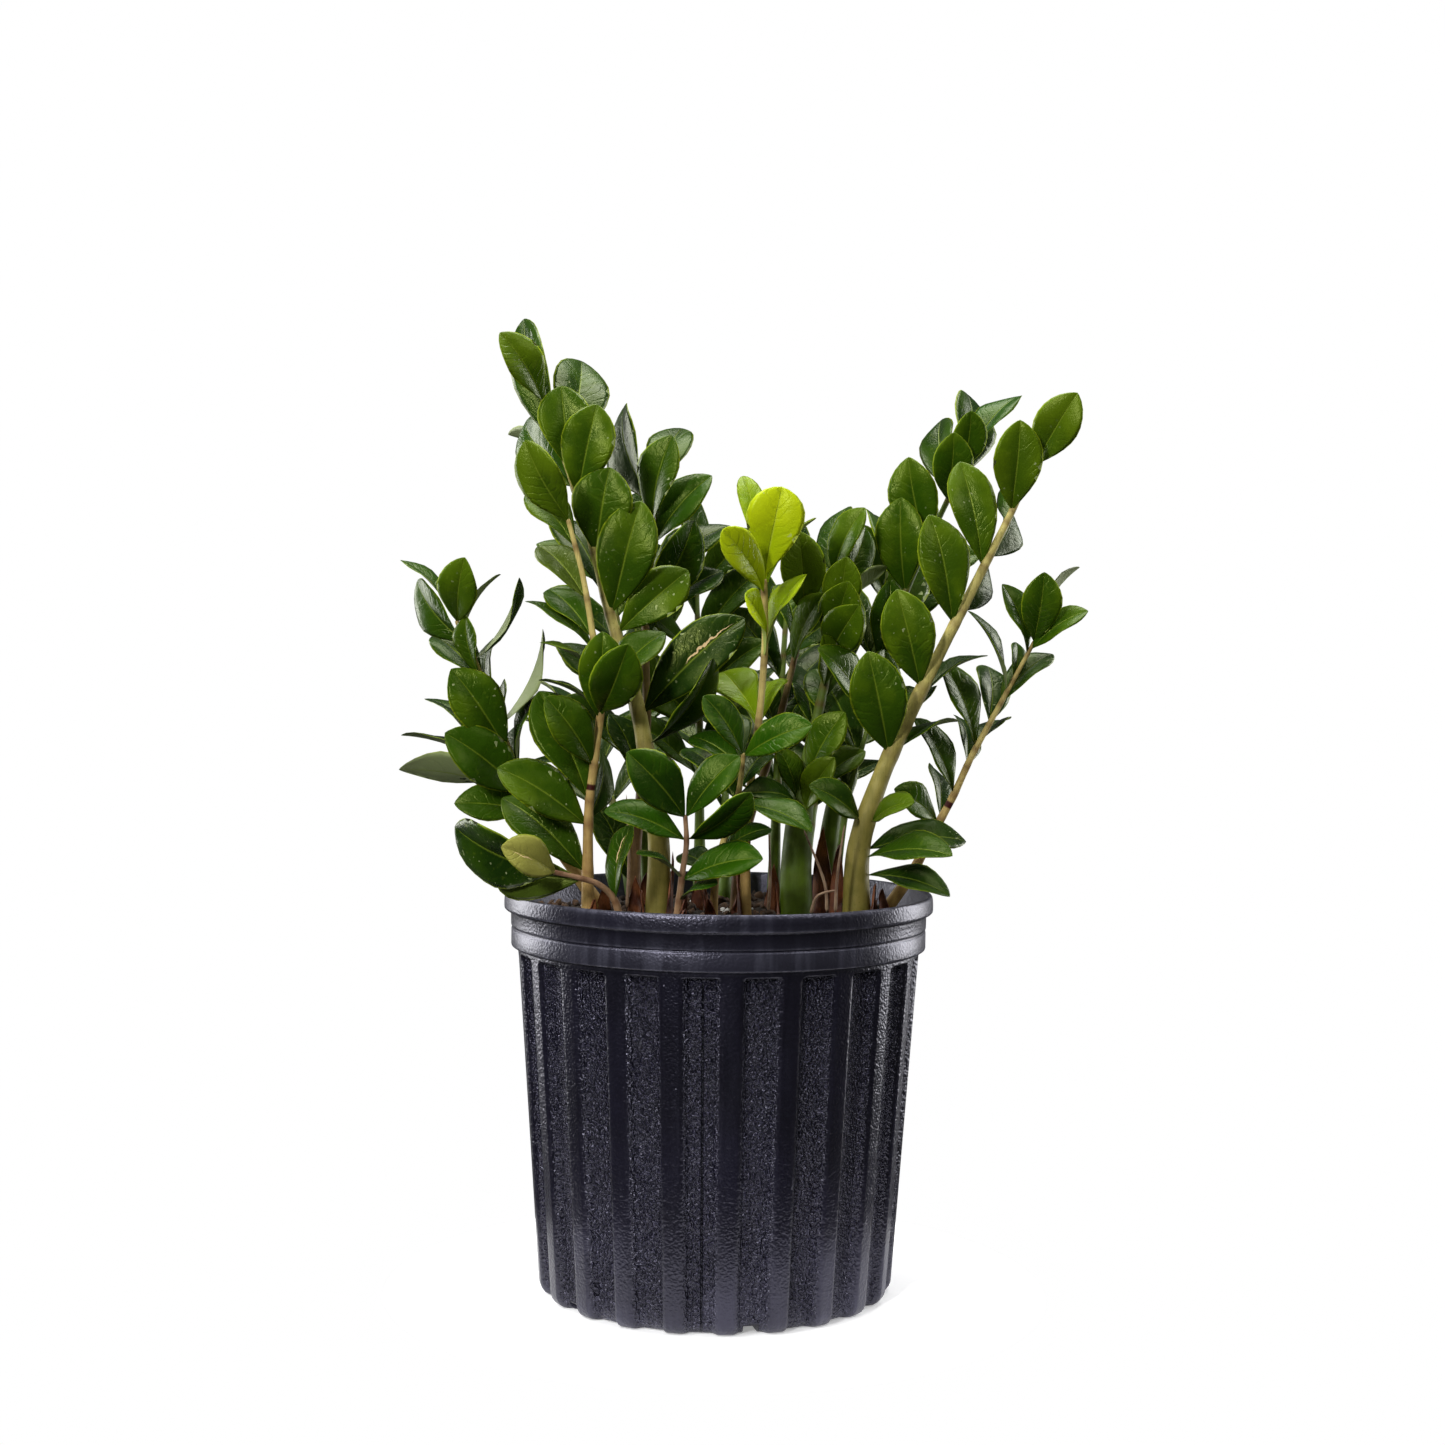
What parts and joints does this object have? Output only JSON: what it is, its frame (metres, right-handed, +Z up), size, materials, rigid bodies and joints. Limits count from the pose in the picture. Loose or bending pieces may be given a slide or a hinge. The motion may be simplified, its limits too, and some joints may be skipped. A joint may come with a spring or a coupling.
{
  "type": "potted zz plant",
  "caption": "Leafy zz plant with upright and arching fronds of glossy paired leaflets, growing in a fluted black plastic nursery pot.",
  "frame": {"origin": "middle of the pot's flat base", "axes": "+Z up along the pot's axis; -Y towards the side that the picture shows; +X to the viewer's right"},
  "size_m": [0.4113, 0.3691, 0.5885],
  "materials": {
    "pot_black_plastic": "black, satin ribs and a fine pebbled skin in the flutes, dusty towards the foot",
    "potting_mix": "rough dark bark and peat with white perlite grains",
    "green_foliage": "waxy glossy deep green with pale midrib and a thin lighter margin, tan-green stalks",
    "lime_foliage": "waxy lime-green young leaflets on a tan stalk"
  },
  "bodies": {
    "root": {"pot": "pot_black_plastic", "soil": "potting_mix", "frond_front_small": "green_foliage", "frond_left_slender": "green_foliage", "frond_left_trailing": "green_foliage", "frond_centre_small": "green_foliage", "frond_left_low": "green_foliage", "frond_left_tall": "green_foliage", "frond_lime_shoot": "lime_foliage", "frond_right_tall": "green_foliage", "frond_right_slender": "green_foliage", "frond_right_upright": "green_foliage", "frond_centre_brown": "green_foliage", "frond_left_back": "green_foliage", "frond_right_thin": "green_foliage", "frond_right_back": "green_foliage", "frond_rear_left": "green_foliage", "frond_rear_mid_left": "green_foliage", "frond_rear_mid_right": "green_foliage", "frond_rear_right": "green_foliage", "frond_rear_low_left": "green_foliage", "frond_rear_low_mid": "green_foliage", "frond_rear_low_right": "green_foliage"}
  },
  "joints": []
}
